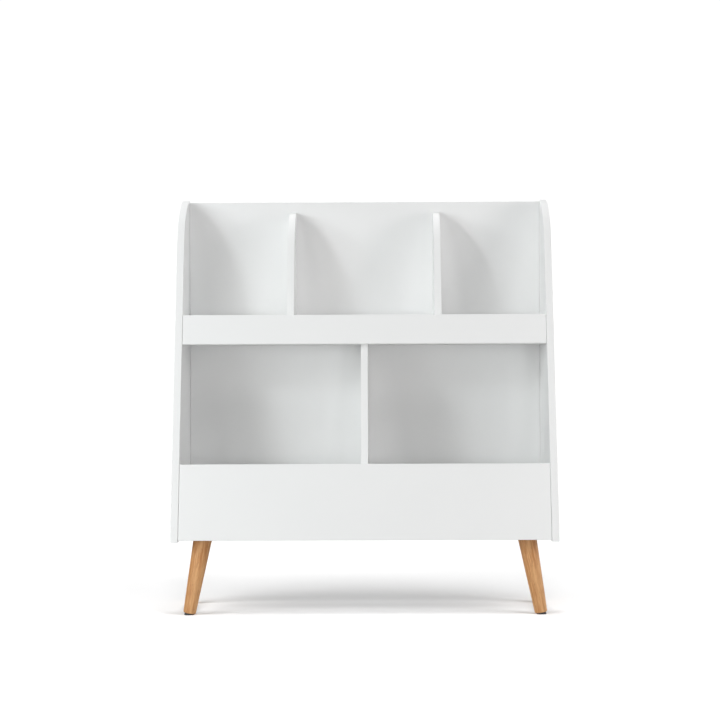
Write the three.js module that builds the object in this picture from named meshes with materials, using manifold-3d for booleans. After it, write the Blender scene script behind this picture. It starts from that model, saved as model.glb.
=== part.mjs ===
// A children's bookcase with three upper and two lower toy bins, on four splayed wooden legs.
// Millimetres, +Z up, front towards -Y. The origin lies on the floor under the cabinet's middle.
import * as THREE from 'three';
import Module from 'manifold-3d';
import { mergeVertices } from 'three/addons/utils/BufferGeometryUtils.js';

const wasm = await Module();
wasm.setup();

// ---------- Driving dimensions ----------

const WIDTH = 800;
const DEPTH = 290;
const UNDERSIDE = 155; // floor to the side panels' lower edges
const BOTTOM_UNDERSIDE = 157.3; // floor to the bottom panel's underside, where the legs meet it
const TOP = 882; // floor to the rear top corner of the side panels
const BOARD = 15;
const BACK_BOARD = 12;
const GAP = 0.3; // between two pieces that touch

const LEAN = THREE.MathUtils.degToRad(14.25); // the front leans back from upright
const SIDE_CORNER_RADIUS = 150;
const DIVIDER_CORNER_RADIUS = 133;
const FRONT_RECESS = 1.5; // the front boards sit this far inside the side panels' edges
const FRONT_STEP = 1.4; // the front boards end this far above the underside of the board behind
const LOWER_FRONT_HEIGHT = 160; // measured along the lean
const UPPER_RAIL_HEIGHT = 64;
const SHELF_UNDERSIDE = BOTTOM_UNDERSIDE + 405;
const BACK_TOP = 877;
const DIVIDER_TOP = 854;
const DIVIDER_SETBACK = FRONT_RECESS + BOARD + 0.5;
const DIVIDER_OFFSET = 157; // middle of the cabinet to the middle of an upper divider
const HOUSING_DEPTH = 4; // groove that takes a divider's edge

const SPLAY = THREE.MathUtils.degToRad(10.4);
const LEG_TOP_RADIUS = 19.3;
const LEG_FOOT_RADIUS = 13.2;
const LEG_FOOT_ROUND = 3;
const FRONT_FOOT = { x: 366.7, y: -92 };
const REAR_FOOT = { x: 379.5, y: 92 };
const PAD_RADIUS = 10;
const PAD_HEIGHT = 3.5; // on the leg's axis

const BORE_DEPTH = 12; // of a blind bore across a board or into a leg's top
const BORE_END_SPACE = 1; // left free beyond a dowel or bolt in its bore
const DOWEL_RADIUS = 4;
const DOWEL_IN_END = 18; // length of a dowel inside the end of a front board
const LEG_DOWEL_BESIDE_BOLT = 12.4;

const CAM_SEGMENTS = 16;
const CAM = {
  radius: 7.5,
  height: 12,
  inset: 24, // board end to the cam's centre
  pocketRadius: 4.6,
  pocketDepth: 10,
  neckHalfWidth: 3,
  neckDepth: 9.2,
  slotHalfLength: 5,
  slotHalfWidth: 0.9,
  slotDepth: 1.2,
};
const CAM_BOLT = {
  reach: 27, // from the side panel's face to the end of the head
  headRadius: 3.4,
  headLength: 3,
  neckRadius: 2,
  neckLength: 9,
  shankRadius: 3.6,
  threadRadius: 2.5,
  tipRadius: 1.2,
  boreRadius: 4.2,
};
const LEG_BOLT = {
  radius: 4,
  headRadius: 8.5,
  rimHeight: 0.8,
  crownRadius: 6.8,
  headHeight: 2.6,
  socketRadius: 2.5,
  socketDepth: 1.8,
  tipChamfer: 1,
  pastInsert: 2,
};
const INSERT = { radius: 6.2, length: 20, boreSpace: 4 };
const BACK_SCREW = {
  radius: 2,
  length: 38,
  pointLength: 6,
  headRadius: 4,
  headDepth: 2.4,
  rimDepth: 0.4,
  recessReach: 2,
  recessHalfWidth: 0.5,
  recessDepth: 1.6,
};

// ---------- Derived dimensions ----------

const INNER_HALF = WIDTH / 2 - BOARD;
const REAR = DEPTH / 2;
const BACK_FACE = REAR - BACK_BOARD;
const SHELF_TOP = SHELF_UNDERSIDE + BOARD;
const BOTTOM_TOP = BOTTOM_UNDERSIDE + BOARD;
const FRONT_BOARD_REAR = FRONT_RECESS + BOARD;
const CAM_BOLT_LIFT = CAM.height / 2 + GAP; // underside of a shelf to a cam bolt's axis
const BEYOND = 1; // how far a cutter runs past the face it opens

// ---------- Materials ----------

const whitePaint = () => new THREE.MeshStandardMaterial({ color: 0xf1f1ef, roughness: 0.45 });
const oak = () => new THREE.MeshStandardMaterial({ color: 0xc9975f, roughness: 0.55 });
const beech = () => new THREE.MeshStandardMaterial({ color: 0xdcbd92, roughness: 0.7 });
const darkRubber = () => new THREE.MeshStandardMaterial({ color: 0x45464a, roughness: 0.8 });
const steel = () => new THREE.MeshStandardMaterial({ color: 0xb9bcc0, roughness: 0.35, metalness: 1 });
const zinc = () => new THREE.MeshStandardMaterial({ color: 0xa5a8ab, roughness: 0.5, metalness: 1 });

// ---------- Solids ----------

function toSolid(geometry) {
  const bare = geometry.clone();
  bare.deleteAttribute('normal');
  bare.deleteAttribute('uv');
  const merged = mergeVertices(bare);
  const vertProperties = new Float32Array(merged.attributes.position.array);
  const triVerts = new Uint32Array(merged.index.array);
  return new wasm.Manifold(new wasm.Mesh({ numProp: 3, vertProperties, triVerts }));
}

function toGeometry(solid) {
  const mesh = solid.getMesh();
  const indexed = new THREE.BufferGeometry();
  indexed.setAttribute('position', new THREE.BufferAttribute(mesh.vertProperties, 3));
  indexed.setIndex(new THREE.BufferAttribute(mesh.triVerts, 1));
  const flat = indexed.toNonIndexed();
  flat.computeVertexNormals();
  return flat;
}

function cut(geometry, cutters) {
  let solid = toSolid(geometry);
  for (const cutter of cutters) {
    solid = solid.subtract(toSolid(cutter));
  }
  return toGeometry(solid);
}

// A cylinder whose axis runs along X, Y or Z between two places on that axis.
function rod(radius, axis, from, to, centre, segments = 12) {
  const geometry = new THREE.CylinderGeometry(radius, radius, Math.abs(to - from), segments);
  const middle = (from + to) / 2;
  if (axis === 'x') {
    geometry.rotateZ(Math.PI / 2);
    geometry.translate(middle, centre[0], centre[1]);
  } else if (axis === 'y') {
    geometry.translate(centre[0], middle, centre[1]);
  } else {
    geometry.rotateX(Math.PI / 2);
    geometry.translate(centre[0], centre[1], middle);
  }
  return geometry;
}

function block(x, y, z) {
  const geometry = new THREE.BoxGeometry(x[1] - x[0], y[1] - y[0], z[1] - z[0]);
  geometry.translate((x[0] + x[1]) / 2, (y[0] + y[1]) / 2, (z[0] + z[1]) / 2);
  return geometry;
}

// An outline drawn in the Y-Z plane and given a thickness along X.
function across(shape, fromX, toX) {
  const geometry = new THREE.ExtrudeGeometry(shape, {
    depth: toX - fromX,
    bevelEnabled: false,
    curveSegments: 20,
  });
  const axes = new THREE.Matrix4().makeBasis(
    new THREE.Vector3(0, 1, 0),
    new THREE.Vector3(0, 0, 1),
    new THREE.Vector3(1, 0, 0),
  );
  geometry.applyMatrix4(axes);
  geometry.translate(fromX, 0, 0);
  return geometry;
}

// A turned shape with its axis along +X, from [distance, radius] pairs.
function turned(profile, segments = 12) {
  const points = profile.map(([distance, radius]) => new THREE.Vector2(radius, distance));
  const geometry = new THREE.LatheGeometry(points, segments);
  geometry.rotateZ(-Math.PI / 2);
  return geometry;
}

// ---------- The leaning front ----------

// Y of the leaning front plane at a height, moved inwards by a setback.
function frontAt(height, setback = 0) {
  return -DEPTH / 2 + (height - UNDERSIDE) * Math.tan(LEAN) + setback / Math.cos(LEAN);
}

// A place on a front board, given inwards from the leaning plane and upwards along it.
function leaningPoint(inwards, along) {
  const y = -DEPTH / 2 + along * Math.sin(LEAN) + inwards * Math.cos(LEAN);
  const z = UNDERSIDE + along * Math.cos(LEAN) - inwards * Math.sin(LEAN);
  return [y, z];
}

// Distance along the lean at which a front board's face starts, given the underside of the
// board behind it.
function boardStart(underside) {
  const height = underside + FRONT_STEP - UNDERSIDE;
  return (height + FRONT_RECESS * Math.sin(LEAN)) / Math.cos(LEAN);
}

// Outline of an upright board: level bottom, leaning front edge, and one arc that leaves the
// front edge smoothly and ends at the rear top corner.
function uprightOutline({ setback, bottom, top, rear, radius }) {
  const width = (rear - frontAt(top, setback)) * Math.cos(LEAN);
  const beyond = radius - width;
  const below = Math.sqrt(radius ** 2 - beyond ** 2);
  const centreY = rear + beyond * Math.cos(LEAN) - below * Math.sin(LEAN);
  const centreZ = top - beyond * Math.sin(LEAN) - below * Math.cos(LEAN);
  const end = Math.atan2(top - centreZ, rear - centreY);
  const shape = new THREE.Shape();
  shape.moveTo(rear, bottom);
  shape.lineTo(frontAt(bottom, setback), bottom);
  shape.absarc(centreY, centreZ, radius, Math.PI - LEAN, end, true);
  shape.closePath();
  return shape;
}

// Outline of an upright board that ends under the shelf, with no arc.
function shortUprightOutline({ setback, bottom, top, rear }) {
  const shape = new THREE.Shape();
  shape.moveTo(rear, bottom);
  shape.lineTo(frontAt(bottom, setback), bottom);
  shape.lineTo(frontAt(top, setback), top);
  shape.lineTo(rear, top);
  shape.closePath();
  return shape;
}

// ---------- Places of the joints ----------

const FRONT_BOARDS = {
  lower: { start: boardStart(BOTTOM_UNDERSIDE), height: LOWER_FRONT_HEIGHT, dowelInset: 35 },
  upper: { start: boardStart(SHELF_UNDERSIDE), height: UPPER_RAIL_HEIGHT, dowelInset: 16 },
};
const SHELVES = {
  bottom: { underside: BOTTOM_UNDERSIDE, camYs: [-45, 45], screwHeight: BOTTOM_UNDERSIDE + 7 },
  shelf: { underside: SHELF_UNDERSIDE, camYs: [8, 100], screwHeight: SHELF_UNDERSIDE + 8.5 },
};
const BACK_SCREW_XS = [-300, 0, 300];

function dowelPlaces(board) {
  const inwards = FRONT_RECESS + BOARD / 2;
  const alongs = [board.start + board.dowelInset, board.start + board.height - board.dowelInset];
  return alongs.map((along) => leaningPoint(inwards, along));
}

function camPlaces(shelf) {
  return shelf.camYs.map((y) => [y, shelf.underside + CAM_BOLT_LIFT]);
}

const LEGS = [
  { name: 'front_left', side: -1, foot: FRONT_FOOT },
  { name: 'front_right', side: 1, foot: FRONT_FOOT },
  { name: 'rear_left', side: -1, foot: REAR_FOOT },
  { name: 'rear_right', side: 1, foot: REAR_FOOT },
];

// X of a leg's axis at a height.
function legX(leg, height) {
  return leg.side * (leg.foot.x - height * Math.tan(SPLAY));
}

// The bolt meets the leg's axis at the underside, and the dowel beside it keeps the leg
// from turning.
function legDowelPlace(leg) {
  return [legX(leg, BOTTOM_UNDERSIDE), leg.foot.y + LEG_DOWEL_BESIDE_BOLT];
}

// ---------- Boards ----------

function sidePanel(side) {
  const inner = side * INNER_HALF;
  const outer = (side * WIDTH) / 2;
  const outline = uprightOutline({
    setback: 0,
    bottom: UNDERSIDE,
    top: TOP,
    rear: REAR,
    radius: SIDE_CORNER_RADIUS,
  });
  const panel = across(outline, Math.min(inner, outer), Math.max(inner, outer));
  const boreEnd = inner + side * BORE_DEPTH;
  const boreStart = inner - side * BEYOND;
  const bores = [];
  for (const board of Object.values(FRONT_BOARDS)) {
    for (const place of dowelPlaces(board)) {
      bores.push(rod(DOWEL_RADIUS + GAP, 'x', boreStart, boreEnd, place));
    }
  }
  for (const shelf of Object.values(SHELVES)) {
    for (const place of camPlaces(shelf)) {
      bores.push(rod(CAM_BOLT.threadRadius + GAP, 'x', boreStart, boreEnd, place));
    }
  }
  return cut(panel, bores);
}

function backPanel() {
  const board = block(
    [-INNER_HALF + GAP, INNER_HALF - GAP],
    [BACK_FACE, REAR],
    [BOTTOM_UNDERSIDE, BACK_TOP],
  );
  const bores = [];
  for (const { screwHeight } of Object.values(SHELVES)) {
    for (const x of BACK_SCREW_XS) {
      const place = [x, screwHeight];
      bores.push(rod(BACK_SCREW.radius + GAP, 'y', BACK_FACE - BEYOND, REAR + BEYOND, place));
      bores.push(screwCountersink(place));
    }
  }
  return cut(board, bores);
}

// A level board between the side panels, from the front board behind the lean to the back panel.
function levelBoard(underside) {
  const shape = new THREE.Shape();
  shape.moveTo(BACK_FACE - GAP, underside);
  shape.lineTo(frontAt(underside, FRONT_BOARD_REAR) + GAP, underside);
  shape.lineTo(frontAt(underside + BOARD, FRONT_BOARD_REAR) + GAP, underside + BOARD);
  shape.lineTo(BACK_FACE - GAP, underside + BOARD);
  shape.closePath();
  return across(shape, -INNER_HALF + GAP, INNER_HALF - GAP);
}

// Bores for the cams, their bolts and the back panel's screws.
function levelBoardBores(shelf) {
  const bores = [];
  const camTop = shelf.underside + CAM.height + 2 * GAP;
  for (const side of [-1, 1]) {
    const end = side * (INNER_HALF + BEYOND);
    const camX = side * (INNER_HALF - CAM.inset);
    for (const [y, z] of camPlaces(shelf)) {
      const low = shelf.underside - BEYOND;
      bores.push(rod(CAM.radius + GAP, 'z', low, camTop, [camX, y], CAM_SEGMENTS));
      bores.push(rod(CAM_BOLT.boreRadius, 'x', camX, end, [y, z]));
    }
  }
  const screwEnd = REAR - BACK_SCREW.length - BORE_END_SPACE;
  for (const x of BACK_SCREW_XS) {
    const place = [x, shelf.screwHeight];
    bores.push(rod(BACK_SCREW.radius + GAP, 'y', screwEnd, BACK_FACE + BEYOND, place));
  }
  return bores;
}

// A groove across a level board that takes the edge of a divider.
function housing(x, from, to) {
  const half = BOARD / 2 + GAP;
  return block([x - half, x + half], [-DEPTH, DEPTH], [from, to]);
}

function shelfPanel() {
  const bores = levelBoardBores(SHELVES.shelf);
  for (const x of [-DIVIDER_OFFSET, DIVIDER_OFFSET]) {
    bores.push(housing(x, SHELF_TOP - HOUSING_DEPTH, SHELF_TOP + BEYOND));
  }
  bores.push(housing(0, SHELF_UNDERSIDE - BEYOND, SHELF_UNDERSIDE + HOUSING_DEPTH));
  return cut(levelBoard(SHELF_UNDERSIDE), bores);
}

function bottomPanel() {
  const bores = levelBoardBores(SHELVES.bottom);
  bores.push(housing(0, BOTTOM_TOP - HOUSING_DEPTH, BOTTOM_TOP + BEYOND));
  const low = BOTTOM_UNDERSIDE - BEYOND;
  const dowelEnd = BOTTOM_UNDERSIDE + BORE_DEPTH;
  for (const leg of LEGS) {
    const boltPlace = [legX(leg, BOTTOM_UNDERSIDE), leg.foot.y];
    bores.push(rod(LEG_BOLT.radius + GAP, 'z', low, BOTTOM_TOP + BEYOND, boltPlace));
    bores.push(rod(DOWEL_RADIUS + GAP, 'z', low, dowelEnd, legDowelPlace(leg)));
  }
  return cut(levelBoard(BOTTOM_UNDERSIDE), bores);
}

// A front board in the leaning group: Y runs inwards from the leaning plane and Z up along it.
// Its upper edge is square to its face, and its lower edge is cut level.
function frontBoard(board) {
  const end = board.start + board.height;
  const shape = new THREE.Shape();
  shape.moveTo(FRONT_RECESS, board.start);
  shape.lineTo(FRONT_BOARD_REAR, board.start + BOARD * Math.tan(LEAN));
  shape.lineTo(FRONT_BOARD_REAR, end);
  shape.lineTo(FRONT_RECESS, end);
  shape.closePath();
  const panel = across(shape, -INNER_HALF + GAP, INNER_HALF - GAP);
  const middle = FRONT_RECESS + BOARD / 2;
  const bores = [];
  for (const side of [-1, 1]) {
    const from = side * (INNER_HALF - DOWEL_IN_END - BORE_END_SPACE);
    const to = side * (INNER_HALF + BEYOND);
    for (const inset of [board.dowelInset, board.height - board.dowelInset]) {
      bores.push(rod(DOWEL_RADIUS + GAP, 'x', from, to, [middle, board.start + inset]));
    }
  }
  return cut(panel, bores);
}

function upperDivider(x) {
  const outline = uprightOutline({
    setback: DIVIDER_SETBACK,
    bottom: SHELF_TOP - HOUSING_DEPTH + GAP,
    top: DIVIDER_TOP,
    rear: BACK_FACE - GAP,
    radius: DIVIDER_CORNER_RADIUS,
  });
  return across(outline, x - BOARD / 2, x + BOARD / 2);
}

function lowerDivider() {
  const outline = shortUprightOutline({
    setback: DIVIDER_SETBACK,
    bottom: BOTTOM_TOP - HOUSING_DEPTH + GAP,
    top: SHELF_UNDERSIDE + HOUSING_DEPTH - GAP,
    rear: BACK_FACE - GAP,
  });
  return across(outline, -BOARD / 2, BOARD / 2);
}

// ---------- Legs ----------

// Turns an upright shape on the floor point into the leg's splay.
function splayed(geometry, side) {
  geometry.rotateY(-side * SPLAY);
  return geometry;
}

// A block with a level top or bottom face at a height, wider than a leg.
function levelCutter(from, to) {
  return block([-DEPTH, DEPTH], [-DEPTH, DEPTH], [from, to]);
}

// A tapered, turned leg. Its foot is square to its own axis with a rounded edge, and its top
// is cut level where it meets the bottom panel.
function leg(spec) {
  const start = PAD_HEIGHT / Math.cos(SPLAY);
  const end = BOTTOM_UNDERSIDE / Math.cos(SPLAY);
  const reach = end + LEG_TOP_RADIUS * Math.tan(SPLAY) + BEYOND;
  const foot = LEG_FOOT_RADIUS;
  const round = LEG_FOOT_ROUND;
  const taper = (LEG_TOP_RADIUS - foot) / (end - start - round);
  const path = new THREE.Path();
  path.moveTo(0, start);
  path.lineTo(foot - round, start);
  path.absarc(foot - round, start + round, round, -Math.PI / 2, 0, false);
  path.lineTo(LEG_TOP_RADIUS + (reach - end) * taper, reach);
  path.lineTo(0, reach);
  const body = new THREE.LatheGeometry(path.getPoints(2), 32);
  body.rotateX(Math.PI / 2);
  splayed(body, spec.side);
  const boltX = -spec.side * BOTTOM_UNDERSIDE * Math.tan(SPLAY);
  const insertEnd = BOTTOM_UNDERSIDE - INSERT.length - INSERT.boreSpace;
  const top = BOTTOM_UNDERSIDE + BEYOND;
  const dowelEnd = BOTTOM_UNDERSIDE - BORE_DEPTH;
  const beside = [boltX, LEG_DOWEL_BESIDE_BOLT];
  return cut(body, [
    levelCutter(BOTTOM_UNDERSIDE - GAP, BOTTOM_UNDERSIDE + DEPTH),
    rod(INSERT.radius + GAP, 'z', insertEnd, top, [boltX, 0]),
    rod(DOWEL_RADIUS + GAP, 'z', dowelEnd, top, beside),
  ]);
}

// A rubber pad between the sloping foot and the level floor.
function footPad(side) {
  const top = PAD_HEIGHT / Math.cos(SPLAY) - GAP;
  const pad = rod(PAD_RADIUS, 'z', -PAD_RADIUS, top, [0, 0], 24);
  splayed(pad, side);
  return cut(pad, [levelCutter(-DEPTH, 0)]);
}

// ---------- Fittings ----------

// The eccentric of a cam lock, with the pocket that holds the bolt's head and a slot for a
// screwdriver in its underside.
function cam(side) {
  const top = CAM.height + BEYOND;
  const body = rod(CAM.radius, 'z', 0, CAM.height, [0, 0], CAM_SEGMENTS);
  const outwards = [0, side * (CAM.radius + BEYOND)].sort((a, b) => a - b);
  const neckFloor = CAM.height - CAM.neckDepth;
  const slot = [-CAM.slotHalfWidth, CAM.slotHalfWidth];
  return cut(body, [
    block(outwards, [-CAM.neckHalfWidth, CAM.neckHalfWidth], [neckFloor, top]),
    rod(CAM.pocketRadius, 'z', CAM.height - CAM.pocketDepth, top, [0, 0]),
    block([-CAM.slotHalfLength, CAM.slotHalfLength], slot, [-BEYOND, CAM.slotDepth]),
  ]);
}

// A cam bolt on a side panel's inner face: thread in the panel, shank and head in the shelf.
function camBolt(side) {
  const { reach, headRadius, headLength, neckRadius, neckLength, shankRadius } = CAM_BOLT;
  const thread = BORE_DEPTH - BORE_END_SPACE;
  const shoulder = headRadius - neckRadius;
  const profile = [
    [-reach, 0],
    [-reach, headRadius],
    [-reach + headLength, headRadius],
    [-reach + headLength + shoulder, neckRadius],
    [-reach + headLength + neckLength, neckRadius],
    [-reach + headLength + neckLength + 1, shankRadius],
    [-1, shankRadius],
    [-1, CAM_BOLT.threadRadius],
    [thread - 2, CAM_BOLT.threadRadius],
    [thread, CAM_BOLT.tipRadius],
    [thread, 0],
  ];
  const bolt = turned(profile);
  if (side < 0) {
    bolt.rotateZ(Math.PI);
  }
  return bolt;
}

// A bolt down through the bottom panel, with a wide, low head and a hexagon socket.
function legBolt() {
  const head = BOTTOM_TOP + GAP;
  const tip = BOTTOM_UNDERSIDE - INSERT.length - LEG_BOLT.pastInsert;
  const path = new THREE.Path();
  path.moveTo(0, tip);
  path.lineTo(LEG_BOLT.radius - LEG_BOLT.tipChamfer, tip);
  path.lineTo(LEG_BOLT.radius, tip + LEG_BOLT.tipChamfer);
  path.lineTo(LEG_BOLT.radius, head);
  path.lineTo(LEG_BOLT.headRadius, head);
  path.lineTo(LEG_BOLT.headRadius, head + LEG_BOLT.rimHeight);
  path.lineTo(LEG_BOLT.crownRadius, head + LEG_BOLT.headHeight);
  path.lineTo(0, head + LEG_BOLT.headHeight);
  const bolt = new THREE.LatheGeometry(path.getPoints(), 16);
  bolt.rotateX(Math.PI / 2);
  const floor = head + LEG_BOLT.headHeight - LEG_BOLT.socketDepth;
  const mouth = head + LEG_BOLT.headHeight + BEYOND;
  return cut(bolt, [rod(LEG_BOLT.socketRadius, 'z', floor, mouth, [0, 0], 6)]);
}

// A threaded insert for the leg bolt, just under the leg's top face.
function insertNut() {
  const top = BOTTOM_UNDERSIDE - 2 * GAP;
  const bottom = top - INSERT.length;
  const tube = rod(INSERT.radius, 'z', bottom, top, [0, 0], 16);
  return cut(tube, [rod(LEG_BOLT.radius + GAP, 'z', bottom - BEYOND, top + BEYOND, [0, 0])]);
}

// A screw through the back panel, its head flush with the rear face, with a cross recess.
function backScrew() {
  const { radius, length, pointLength, headRadius, headDepth, rimDepth } = BACK_SCREW;
  const profile = [
    [-length, 0],
    [-length + pointLength, radius],
    [-headDepth, radius],
    [-rimDepth, headRadius],
    [0, headRadius],
    [0, 0],
  ];
  const screw = turned(profile);
  screw.rotateZ(Math.PI / 2);
  const long = [-BACK_SCREW.recessReach, BACK_SCREW.recessReach];
  const narrow = [-BACK_SCREW.recessHalfWidth, BACK_SCREW.recessHalfWidth];
  const depth = [-BACK_SCREW.recessDepth, BEYOND];
  return cut(screw, [block(long, depth, narrow), block(narrow, depth, long)]);
}

function screwCountersink([x, z]) {
  const { radius, headRadius, headDepth, rimDepth } = BACK_SCREW;
  const profile = [
    [-headDepth - 2 * GAP, 0],
    [-headDepth - 2 * GAP, radius + GAP],
    [-rimDepth, headRadius + GAP],
    [BEYOND, headRadius + GAP],
    [BEYOND, 0],
  ];
  const sink = turned(profile);
  sink.rotateZ(Math.PI / 2);
  sink.translate(x, REAR, z);
  return sink;
}

// ---------- Assembly ----------

const bookcase = new THREE.Group();

function place(parent, name, geometry, material, position = [0, 0, 0]) {
  const mesh = new THREE.Mesh(geometry, material);
  mesh.name = name;
  mesh.position.set(...position);
  parent.add(mesh);
}

const sideName = (side) => (side < 0 ? 'left' : 'right');

function addBoards() {
  for (const side of [-1, 1]) {
    place(bookcase, `${sideName(side)}_side_panel`, sidePanel(side), whitePaint());
    const divider = upperDivider(side * DIVIDER_OFFSET);
    place(bookcase, `upper_divider_${sideName(side)}`, divider, whitePaint());
  }
  place(bookcase, 'back_panel', backPanel(), whitePaint());
  place(bookcase, 'upper_shelf', shelfPanel(), whitePaint());
  place(bookcase, 'bottom_panel', bottomPanel(), whitePaint());
  place(bookcase, 'lower_divider', lowerDivider(), whitePaint());
}

function addLeaningFront() {
  const leaning = new THREE.Group();
  leaning.position.set(0, -DEPTH / 2, UNDERSIDE);
  leaning.rotation.x = -LEAN;
  bookcase.add(leaning);
  place(leaning, 'lower_front_panel', frontBoard(FRONT_BOARDS.lower), whitePaint());
  place(leaning, 'upper_front_rail', frontBoard(FRONT_BOARDS.upper), whitePaint());
}

function addFrontDowels() {
  const labels = { lower: 'front_panel_dowel', upper: 'front_rail_dowel' };
  for (const [key, board] of Object.entries(FRONT_BOARDS)) {
    for (const side of [-1, 1]) {
      dowelPlaces(board).forEach((at, index) => {
        const name = `${labels[key]}_${sideName(side)}_${index + 1}`;
        const from = side * (INNER_HALF - DOWEL_IN_END);
        const to = side * (INNER_HALF + BORE_DEPTH - BORE_END_SPACE);
        place(bookcase, name, rod(DOWEL_RADIUS, 'x', from, to, at), beech());
      });
    }
  }
}

function addCamLocks() {
  for (const [key, shelf] of Object.entries(SHELVES)) {
    for (const side of [-1, 1]) {
      camPlaces(shelf).forEach(([y, z], index) => {
        const label = `${key}_${sideName(side)}_${index + 1}`;
        const camX = side * (INNER_HALF - CAM.inset);
        place(bookcase, `cam_${label}`, cam(side), zinc(), [camX, y, shelf.underside + GAP]);
        place(bookcase, `cam_bolt_${label}`, camBolt(side), steel(), [side * INNER_HALF, y, z]);
      });
    }
  }
}

function addLegs() {
  for (const spec of LEGS) {
    const foot = [spec.side * spec.foot.x, spec.foot.y, 0];
    const boltX = legX(spec, BOTTOM_UNDERSIDE);
    place(bookcase, `leg_${spec.name}`, leg(spec), oak(), foot);
    place(bookcase, `foot_pad_${spec.name}`, footPad(spec.side), darkRubber(), foot);
    place(bookcase, `leg_insert_${spec.name}`, insertNut(), zinc(), [boltX, spec.foot.y, 0]);
    place(bookcase, `leg_bolt_${spec.name}`, legBolt(), steel(), [boltX, spec.foot.y, 0]);
    const reach = BORE_DEPTH - BORE_END_SPACE;
    const ends = [BOTTOM_UNDERSIDE - reach, BOTTOM_UNDERSIDE + reach];
    const dowel = rod(DOWEL_RADIUS, 'z', ...ends, legDowelPlace(spec));
    place(bookcase, `leg_dowel_${spec.name}`, dowel, beech());
  }
}

function addBackScrews() {
  for (const [key, { screwHeight }] of Object.entries(SHELVES)) {
    BACK_SCREW_XS.forEach((x, index) => {
      const name = `back_screw_${key}_${index + 1}`;
      place(bookcase, name, backScrew(), steel(), [x, REAR, screwHeight]);
    });
  }
}

addBoards();
addLeaningFront();
addFrontDowels();
addCamLocks();
addLegs();
addBackScrews();

export default bookcase;
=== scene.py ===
"""Looks of a children's bookcase: painted boards, turned oak legs, rubber pads and metal fittings.

Metres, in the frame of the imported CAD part: +Z up, front towards -Y, the floor at Z = 0.
"""

import math

import bmesh
import bpy
from mathutils import Matrix, Vector


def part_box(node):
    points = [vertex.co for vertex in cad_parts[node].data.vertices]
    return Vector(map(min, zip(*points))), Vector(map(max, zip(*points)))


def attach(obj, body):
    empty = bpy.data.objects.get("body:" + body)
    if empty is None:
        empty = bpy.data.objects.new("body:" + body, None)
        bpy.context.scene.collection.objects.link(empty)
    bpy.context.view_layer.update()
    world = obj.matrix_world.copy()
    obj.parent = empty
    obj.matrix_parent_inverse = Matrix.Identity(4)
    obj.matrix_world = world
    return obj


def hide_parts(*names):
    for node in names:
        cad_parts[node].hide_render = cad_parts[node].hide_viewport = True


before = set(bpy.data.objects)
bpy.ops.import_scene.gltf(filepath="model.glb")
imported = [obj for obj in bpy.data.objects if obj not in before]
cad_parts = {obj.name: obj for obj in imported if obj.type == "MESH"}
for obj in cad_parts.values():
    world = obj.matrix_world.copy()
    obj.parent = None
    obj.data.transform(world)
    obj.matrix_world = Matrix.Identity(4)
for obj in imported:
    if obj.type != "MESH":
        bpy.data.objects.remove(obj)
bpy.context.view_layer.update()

# ---------- Dimensions of the CAD part ----------

LEFT_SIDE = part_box("left_side_panel")
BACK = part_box("back_panel")
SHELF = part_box("upper_shelf")
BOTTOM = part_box("bottom_panel")

GAP = 0.0003
FRONT = LEFT_SIDE[0].y
REAR = LEFT_SIDE[1].y
UNDERSIDE = LEFT_SIDE[0].z
TOP = LEFT_SIDE[1].z
HALF_WIDTH = -LEFT_SIDE[0].x
INNER_HALF = -LEFT_SIDE[1].x
BOARD = HALF_WIDTH - INNER_HALF
BACK_FACE = BACK[0].y
SHELF_UNDERSIDE = SHELF[0].z
SHELF_TOP = SHELF[1].z
BOTTOM_UNDERSIDE = BOTTOM[0].z
BOTTOM_TOP = BOTTOM[1].z
LEAN = math.radians(14.25)
FRONT_RECESS = 0.0015
FRONT_STEP = 0.0014  # from a level board's underside up to the lower edge of its front board
FRONT_BOARD_REAR = FRONT_RECESS + BOARD
LOWER_FRONT_HEIGHT = 0.160
UPPER_RAIL_HEIGHT = 0.064
SIDE_CORNER_RADIUS = 0.150
DIVIDER_CORNER_RADIUS = 0.133
DIVIDER_SETBACK = FRONT_RECESS + BOARD + 0.0005
DIVIDER_OFFSET = 0.157
HOUSING_DEPTH = 0.004
EDGE = 0.0009  # rounding on the boards' edges
SQUARE_EDGE = 0.0004  # rounding on boards whose edges meet other boards
CORNER_ANGLE = math.radians(35)  # edges sharper than this are rounded
SHARP_ANGLE = math.radians(48)  # edges sharper than this stay sharp in the shading

SPLAY = math.radians(10.4)
LEG_TOP_RADIUS = 0.0193
LEG_FOOT_RADIUS = 0.0132
LEG_FOOT_ROUND = 0.003
FEET = {
    "front_left": (-0.3667, -0.092),
    "front_right": (0.3667, -0.092),
    "rear_left": (-0.3795, 0.092),
    "rear_right": (0.3795, 0.092),
}
PAD_RADIUS = 0.010
PAD_HEIGHT = 0.0035
PAD_ROUND = 0.0007

BEYOND = 0.001  # how far a cutter runs past the face it opens
BORE_DEPTH = 0.012
BORE_END_SPACE = 0.001
DOWEL_RADIUS = 0.004
DOWEL_IN_END = 0.018
CAM_RADIUS = 0.0075
CAM_HEIGHT = 0.012
CAM_INSET = 0.024
CAM_CHAMFER = 0.0005
CAM_POCKET_RADIUS = 0.0046
CAM_POCKET_DEPTH = 0.010
CAM_NECK_HALF_WIDTH = 0.003
CAM_NECK_DEPTH = 0.0092
CAM_CROSS_HALF_LENGTH = 0.0038
CAM_CROSS_HALF_WIDTH = 0.0007
CAM_CROSS_DEPTH = 0.0015
CAM_POINTER_RADIUS = 0.0057  # from the cam's axis to its pointer
CAM_POINTER_DEPTH = 0.0003
CAM_BOLT_BORE_RADIUS = 0.0042
CAM_BOLT_THREAD_RADIUS = 0.0025
BOLT_RADIUS = 0.004
BOLT_TIP_CHAMFER = 0.001
BOLT_HEAD_HEIGHT = 0.0026
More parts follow.
